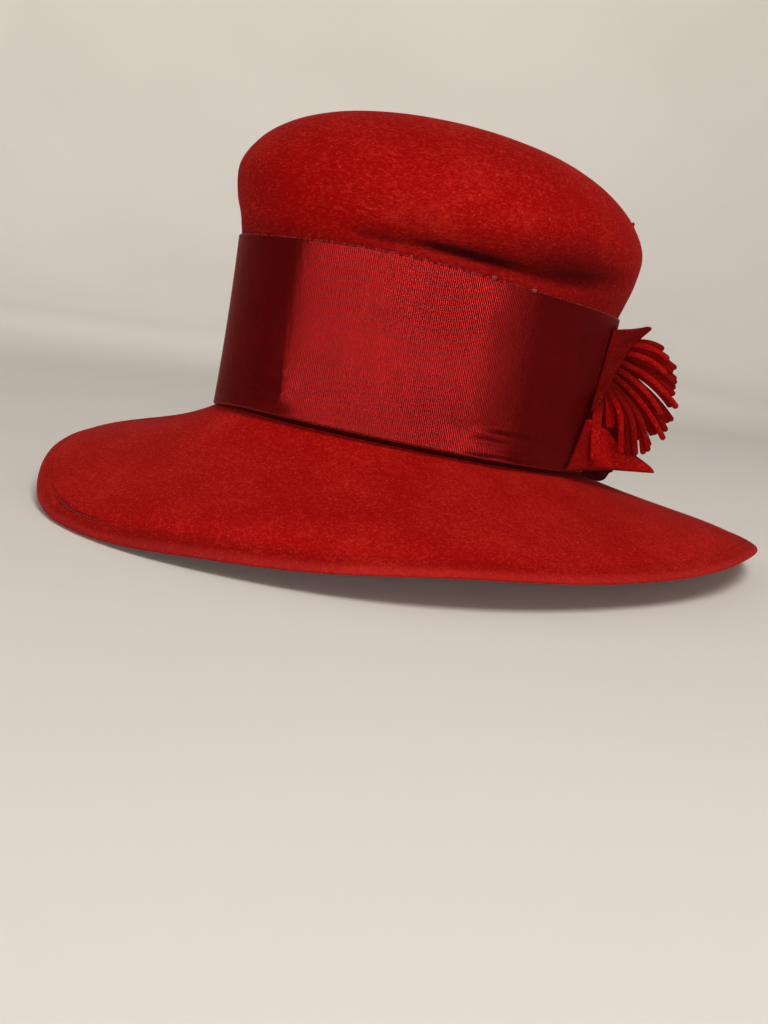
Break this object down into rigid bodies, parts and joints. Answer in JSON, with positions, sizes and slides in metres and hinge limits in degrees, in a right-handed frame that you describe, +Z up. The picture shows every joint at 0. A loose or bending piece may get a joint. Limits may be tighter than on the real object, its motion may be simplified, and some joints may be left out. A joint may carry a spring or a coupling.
{
  "type": "wide brim felt hat",
  "caption": "Wide brim felt hat with a tall rounded crown, a broad ribbed ribbon band and a fringed felt flower; worn on the head, it rests on its brim.",
  "frame": {"origin": "middle of the brim's outline, on the surface that the hat rests on", "axes": "+Z up, -Y to the wearer's front, -X to the wearer's right"},
  "size_m": [0.3562, 0.38, 0.2035],
  "materials": {
    "felt": "brushed velour felt, matt, short nap",
    "satin": "finely ribbed satin ribbon with a soft shimmer"
  },
  "bodies": {
    "root": {"brim": "felt", "crown": "felt", "ribbon": "satin", "flower_leaf_upper": "felt", "flower_leaf_lower": "felt", "flower_leaf_under": "felt", "flower_leaf_tall": "felt", "flower_leaf_far_upper": "felt", "flower_leaf_far_lower": "felt", "flower_fringe": "felt"}
  },
  "joints": []
}
